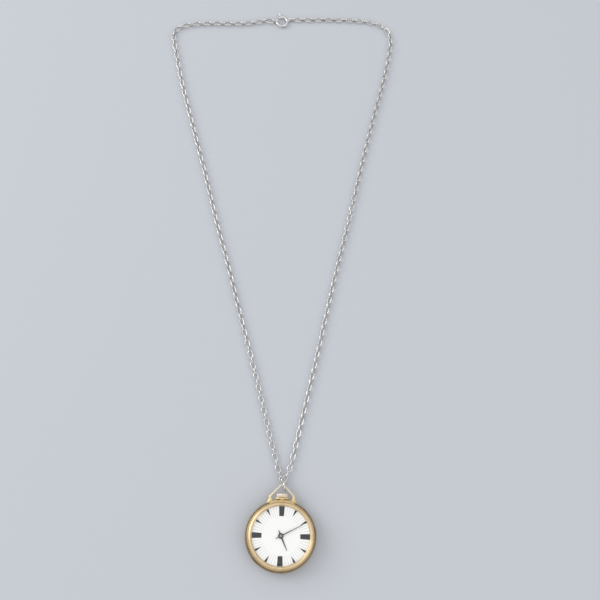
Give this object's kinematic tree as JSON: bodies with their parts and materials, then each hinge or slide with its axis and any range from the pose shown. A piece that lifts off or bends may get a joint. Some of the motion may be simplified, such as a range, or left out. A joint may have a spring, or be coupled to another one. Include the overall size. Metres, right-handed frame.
{
  "type": "pendant watch",
  "caption": "Round hand-wound pendant watch with coin-edge case, domed crystal, block and dart markers, wire bow and a fine cable chain with spring ring clasp.",
  "frame": {"origin": "centre of the flat on the case back, which lies on the table", "axes": "+Z out through the dial and the crystal, +Y to 12 o'clock, the crown and the bow, +X to 3 o'clock"},
  "size_m": [0.1049, 0.2568, 0.0087],
  "materials": {
    "case_gold": "polished gold plate",
    "bow_wire": "gold plate worn pale",
    "silver_wire": "polished silver tone",
    "crystal_clear": "clear, polished",
    "dial_white": "satin white",
    "marker_black": "gloss black",
    "hand_dark": "dark satin",
    "plate_nickel": "nickel plated",
    "wheel_brass": "gilt",
    "movement_steel": "polished steel",
    "spring_blue": "tempered steel",
    "ruby": "polished synthetic ruby",
    "gasket_rubber": "matt",
    "holder_ring": "turned"
  },
  "bodies": {
    "watch": {"case_body": "case_gold", "bezel": "case_gold", "case_back": "case_gold", "bow": "bow_wire", "jump_ring": "silver_wire", "left_chain_lower": "silver_wire", "left_chain_upper": "silver_wire", "right_chain_lower": "silver_wire", "right_chain_upper": "silver_wire", "end_link": "silver_wire", "clasp_link": "silver_wire", "spring_ring": "silver_wire", "crystal": "crystal_clear", "dial": "dial_white", "hour_markers": "marker_black", "main_plate": "plate_nickel", "barrel_bridge": "plate_nickel", "train_bridge": "plate_nickel", "balance_cock": "plate_nickel", "pallet_bridge": "plate_nickel", "pendant_tube": "wheel_brass", "crown_wheel_screw": "movement_steel", "bridge_screws": "movement_steel", "small_screws": "movement_steel", "dial_screws": "movement_steel", "hairspring": "spring_blue", "click_spring": "spring_blue", "clasp_spring": "spring_blue", "jewels": "ruby", "movement_ring": "holder_ring"},
    "crown_slide": {"crown_gasket": "gasket_rubber"},
    "crown_and_stem": {"crown": "case_gold", "winding_stem": "movement_steel"},
    "winding_pinion_body": {"winding_pinion": "movement_steel"},
    "sliding_pinion_body": {"sliding_pinion": "movement_steel"},
    "crown_wheel_body": {"crown_wheel": "movement_steel"},
    "ratchet": {"ratchet_wheel": "movement_steel", "barrel_arbor": "movement_steel", "ratchet_screw": "movement_steel"},
    "setting_lever_body": {"setting_lever": "movement_steel"},
    "yoke_body": {"yoke": "movement_steel"},
    "minute_hand_body": {"minute_hand": "hand_dark", "cannon_pinion": "movement_steel"},
    "hour_hand_body": {"hour_hand": "hand_dark", "hour_wheel": "wheel_brass"},
    "minute_wheel_body": {"minute_wheel": "wheel_brass"},
    "setting_wheel_body": {"setting_wheel": "movement_steel"},
    "barrel": {"barrel_drum": "wheel_brass", "barrel_cover": "wheel_brass", "mainspring": "spring_blue"},
    "centre_wheel_body": {"centre_wheel": "wheel_brass"},
    "third_wheel_body": {"third_wheel": "wheel_brass"},
    "fourth_wheel_body": {"fourth_wheel": "wheel_brass"},
    "escape_wheel_body": {"escape_wheel": "movement_steel"},
    "pallets": {"pallet_fork": "movement_steel", "pallet_stones": "ruby"},
    "balance": {"balance_wheel": "wheel_brass"},
    "click_body": {"click": "movement_steel"},
    "regulator_body": {"regulator": "movement_steel"},
    "latch": {"clasp_latch": "silver_wire"}
  },
  "joints": [
    {"name": "crown_pull", "type": "slide", "parent": "watch", "child": "crown_slide", "axis": [0, 1, 0], "range_m": [0, 0.0005]},
    {"name": "crown_turn", "type": "hinge", "parent": "crown_slide", "child": "crown_and_stem", "pos_m": [0, 0, 0.0035], "axis": [0, 1, 0], "continuous": true},
    {"name": "winding_pinion_turn", "type": "hinge", "parent": "watch", "child": "winding_pinion_body", "pos_m": [0, 0, 0.0035], "axis": [0, 1, 0], "continuous": true},
    {"name": "sliding_pinion_turn", "type": "hinge", "parent": "watch", "child": "sliding_pinion_body", "pos_m": [0, 0, 0.0035], "axis": [0, 1, 0], "continuous": true},
    {"name": "crown_wheel_turn", "type": "hinge", "parent": "watch", "child": "crown_wheel_body", "pos_m": [0, 0.00546, 0.002], "axis": [0, 0, 1], "continuous": true},
    {"name": "ratchet_turn", "type": "hinge", "parent": "watch", "child": "ratchet", "pos_m": [-0.00535, 0.00143, 0.002], "axis": [0, 0, 1], "continuous": true},
    {"name": "setting_lever_turn", "type": "hinge", "parent": "watch", "child": "setting_lever_body", "pos_m": [0.0016, 0.01012, 0.005], "axis": [0, 0, 1], "range_deg": [-18, 0]},
    {"name": "yoke_turn", "type": "hinge", "parent": "watch", "child": "yoke_body", "pos_m": [-0.0032, 0.008, 0.005], "axis": [0, 0, 1], "range_deg": [-4.5, 0]},
    {"name": "minute_hand_turn", "type": "hinge", "parent": "watch", "child": "minute_hand_body", "pos_m": [0, 0, 0.006], "axis": [0, 0, 1], "continuous": true},
    {"name": "hour_hand_turn", "type": "hinge", "parent": "watch", "child": "hour_hand_body", "pos_m": [0, 0, 0.006], "axis": [0, 0, 1], "continuous": true},
    {"name": "minute_wheel_turn", "type": "hinge", "parent": "watch", "child": "minute_wheel_body", "pos_m": [0.00174, 0.00166, 0.0052], "axis": [0, 0, 1], "continuous": true},
    {"name": "setting_wheel_turn", "type": "hinge", "parent": "watch", "child": "setting_wheel_body", "pos_m": [0, 0.0041, 0.0048], "axis": [0, 0, 1], "continuous": true},
    {"name": "fourth_wheel_turn", "type": "hinge", "parent": "watch", "child": "fourth_wheel_body", "pos_m": [0.00635, -0.0017, 0.0032], "axis": [0, 0, 1], "continuous": true},
    {"name": "third_wheel_turn", "type": "hinge", "parent": "watch", "child": "third_wheel_body", "pos_m": [0.00444, 0.00162, 0.0032], "axis": [0, 0, 1], "continuous": true},
    {"name": "centre_wheel_turn", "type": "hinge", "parent": "watch", "child": "centre_wheel_body", "pos_m": [0, 0, 0.0032], "axis": [0, 0, 1], "continuous": true},
    {"name": "barrel_turn", "type": "hinge", "parent": "watch", "child": "barrel", "pos_m": [-0.00535, 0.00143, 0.0035], "axis": [0, 0, 1], "continuous": true},
    {"name": "escape_wheel_turn", "type": "hinge", "parent": "watch", "child": "escape_wheel_body", "pos_m": [0.00445, -0.00441, 0.0032], "axis": [0, 0, 1], "continuous": true},
    {"name": "pallet_turn", "type": "hinge", "parent": "watch", "child": "pallets", "pos_m": [0.00251, -0.00591, 0.0035], "axis": [0, 0, 1], "range_deg": [-4, 4]},
    {"name": "balance_turn", "type": "hinge", "parent": "watch", "child": "balance", "pos_m": [0.0002, -0.0077, 0.0028], "axis": [0, 0, 1], "range_deg": [-270, 270], "stiffness_Nm_per_rad": 0.000000043},
    {"name": "click_lift", "type": "hinge", "parent": "watch", "child": "click_body", "pos_m": [-0.00676, 0.0067, 0.0019], "axis": [0, 0, 1], "range_deg": [0, 8], "stiffness_Nm_per_rad": 0.0001, "springref_deg": -5.73},
    {"name": "regulator_turn", "type": "hinge", "parent": "watch", "child": "regulator_body", "pos_m": [0.0002, -0.0077, 0.0012], "axis": [0, 0, 1], "range_deg": [-20, 20]},
    {"name": "latch_turn", "type": "hinge", "parent": "watch", "child": "latch", "pos_m": [-0.00835, 0.2379, 0.0011], "axis": [0, 0, 1], "range_deg": [-45, 0], "stiffness_Nm_per_rad": 0.0002, "springref_deg": 17.19}
  ],
  "couplings": [
    {"joint": "winding_pinion_turn", "follows": "crown_turn", "ratio": 1},
    {"joint": "sliding_pinion_turn", "follows": "crown_turn", "ratio": 1},
    {"joint": "crown_wheel_turn", "follows": "crown_turn", "ratio": 0.54545},
    {"joint": "ratchet_turn", "follows": "crown_turn", "ratio": -0.26667},
    {"joint": "setting_lever_turn", "follows": "crown_pull", "rad_per_m": -625},
    {"joint": "yoke_turn", "follows": "crown_pull", "rad_per_m": -150},
    {"joint": "hour_hand_turn", "follows": "minute_hand_turn", "ratio": 0.083333},
    {"joint": "minute_wheel_turn", "follows": "minute_hand_turn", "ratio": -0.33333},
    {"joint": "setting_wheel_turn", "follows": "minute_hand_turn", "ratio": 0.5},
    {"joint": "third_wheel_turn", "follows": "fourth_wheel_turn", "ratio": -0.13333},
    {"joint": "centre_wheel_turn", "follows": "fourth_wheel_turn", "ratio": 0.016667},
    {"joint": "barrel_turn", "follows": "fourth_wheel_turn", "ratio": -0.0023148},
    {"joint": "escape_wheel_turn", "follows": "fourth_wheel_turn", "ratio": -12}
  ]
}
